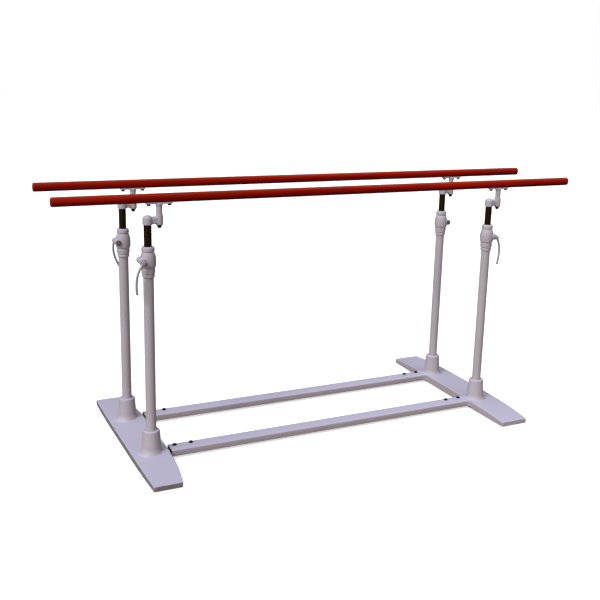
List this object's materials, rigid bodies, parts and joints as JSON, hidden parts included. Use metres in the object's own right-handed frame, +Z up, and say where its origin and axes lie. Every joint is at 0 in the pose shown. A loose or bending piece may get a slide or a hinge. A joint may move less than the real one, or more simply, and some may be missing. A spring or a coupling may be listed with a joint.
{
  "type": "parallel bars",
  "caption": "Freestanding gymnastics parallel bars: two lacquered oval bars on telescoping posts with swing-arm width setting, clamp levers, cast feet and tie rails.",
  "frame": {"origin": "on the floor, midway between the feet across the bars and under the middle of the bars' length", "axes": "+X along the bars towards the end the swing arms point to, +Y from the front bar to the rear bar, +Z up"},
  "size_m": [3.5, 1.408, 1.592],
  "materials": {
    "frame_paint": "light lavender-grey powder coat over castings and tube",
    "rod_black": "satin black",
    "black_fasteners": "blackened steel",
    "lever_steel": "zinc plated, satin",
    "bar_wood": "red-brown stain under glossy lacquer",
    "guide_nylon": "natural nylon",
    "pad_rubber": "matte"
  },
  "bodies": {
    "base": {"foot_left": "frame_paint", "foot_right": "frame_paint", "rail_front": "frame_paint", "rail_rear": "frame_paint", "rail_bolts": "black_fasteners", "rail_washers": "black_fasteners", "rail_nuts": "black_fasteners", "floor_pads": "pad_rubber", "guide_bushes": "guide_nylon", "clamp_nuts": "black_fasteners", "outer_tube_left_front": "frame_paint", "clamp_collar_left_front": "frame_paint", "outer_tube_left_rear": "frame_paint", "clamp_collar_left_rear": "frame_paint", "outer_tube_right_front": "frame_paint", "clamp_collar_right_front": "frame_paint", "outer_tube_right_rear": "frame_paint", "clamp_collar_right_rear": "frame_paint"},
    "rod_left_front": {"inner_rod_left_front": "rod_black", "rod_guide_left_front": "guide_nylon"},
    "rod_right_front": {"inner_rod_right_front": "rod_black", "rod_guide_right_front": "guide_nylon"},
    "arm_left_front": {"swing_arm_left_front": "frame_paint"},
    "arm_right_front": {"swing_arm_right_front": "frame_paint"},
    "bar_front_set": {"bar_front": "bar_wood", "bar_screws_front": "black_fasteners", "saddle_left_front": "frame_paint", "saddle_right_front": "frame_paint", "pivot_bolt_left_front": "black_fasteners", "pivot_bolt_right_front": "black_fasteners"},
    "rod_left_rear": {"inner_rod_left_rear": "rod_black", "rod_guide_left_rear": "guide_nylon"},
    "rod_right_rear": {"inner_rod_right_rear": "rod_black", "rod_guide_right_rear": "guide_nylon"},
    "arm_left_rear": {"swing_arm_left_rear": "frame_paint"},
    "arm_right_rear": {"swing_arm_right_rear": "frame_paint"},
    "bar_rear_set": {"bar_rear": "bar_wood", "bar_screws_rear": "black_fasteners", "saddle_left_rear": "frame_paint", "saddle_right_rear": "frame_paint", "pivot_bolt_left_rear": "black_fasteners", "pivot_bolt_right_rear": "black_fasteners"},
    "lever_left_front": {"clamp_lever_left_front": "lever_steel", "clamp_screw_left_front": "black_fasteners"},
    "lever_right_front": {"clamp_lever_right_front": "lever_steel", "clamp_screw_right_front": "black_fasteners"},
    "lever_left_rear": {"clamp_lever_left_rear": "lever_steel", "clamp_screw_left_rear": "black_fasteners"},
    "lever_right_rear": {"clamp_lever_right_rear": "lever_steel", "clamp_screw_right_rear": "black_fasteners"}
  },
  "joints": [
    {"name": "height_left_front", "type": "slide", "parent": "base", "child": "rod_left_front", "axis": [0, 0, 1], "range_m": [-0.1, 0.3]},
    {"name": "height_right_front", "type": "slide", "parent": "base", "child": "rod_right_front", "axis": [0, 0, 1], "range_m": [-0.1, 0.3]},
    {"name": "swing_left_front", "type": "hinge", "parent": "rod_left_front", "child": "arm_left_front", "pos_m": [-1.231, -0.282, 1.44], "axis": [0, 0, 1], "range_deg": [-46, 46]},
    {"name": "swing_right_front", "type": "hinge", "parent": "rod_right_front", "child": "arm_right_front", "pos_m": [1.095, -0.282, 1.44], "axis": [0, 0, 1], "range_deg": [-46, 46]},
    {"name": "bar_pivot_front", "type": "hinge", "parent": "arm_left_front", "child": "bar_front_set", "pos_m": [-1.163, -0.282, 1.44], "axis": [0, 0, 1], "range_deg": [-46, 46]},
    {"name": "height_left_rear", "type": "slide", "parent": "base", "child": "rod_left_rear", "axis": [0, 0, 1], "range_m": [-0.1, 0.3]},
    {"name": "height_right_rear", "type": "slide", "parent": "base", "child": "rod_right_rear", "axis": [0, 0, 1], "range_m": [-0.1, 0.3]},
    {"name": "swing_left_rear", "type": "hinge", "parent": "rod_left_rear", "child": "arm_left_rear", "pos_m": [-1.231, 0.282, 1.44], "axis": [0, 0, 1], "range_deg": [-46, 46]},
    {"name": "swing_right_rear", "type": "hinge", "parent": "rod_right_rear", "child": "arm_right_rear", "pos_m": [1.095, 0.282, 1.44], "axis": [0, 0, 1], "range_deg": [-46, 46]},
    {"name": "bar_pivot_rear", "type": "hinge", "parent": "arm_left_rear", "child": "bar_rear_set", "pos_m": [-1.163, 0.282, 1.44], "axis": [0, 0, 1], "range_deg": [-46, 46]},
    {"name": "clamp_left_front", "type": "hinge", "parent": "base", "child": "lever_left_front", "pos_m": [-1.2695, -0.282, 1.213], "axis": [0, 1, 0], "range_deg": [-20, 160]},
    {"name": "clamp_right_front", "type": "hinge", "parent": "base", "child": "lever_right_front", "pos_m": [1.1335, -0.282, 1.213], "axis": [0, -1, 0], "range_deg": [-20, 160]},
    {"name": "clamp_left_rear", "type": "hinge", "parent": "base", "child": "lever_left_rear", "pos_m": [-1.2695, 0.282, 1.213], "axis": [0, 1, 0], "range_deg": [-20, 160]},
    {"name": "clamp_right_rear", "type": "hinge", "parent": "base", "child": "lever_right_rear", "pos_m": [1.1335, 0.282, 1.213], "axis": [0, -1, 0], "range_deg": [-20, 160]}
  ],
  "couplings": [
    {"joint": "height_right_front", "follows": "height_left_front", "ratio": 1},
    {"joint": "swing_right_front", "follows": "swing_left_front", "ratio": 1},
    {"joint": "bar_pivot_front", "follows": "swing_left_front", "ratio": -1},
    {"joint": "height_right_rear", "follows": "height_left_rear", "ratio": 1},
    {"joint": "swing_right_rear", "follows": "swing_left_rear", "ratio": 1},
    {"joint": "bar_pivot_rear", "follows": "swing_left_rear", "ratio": -1}
  ]
}
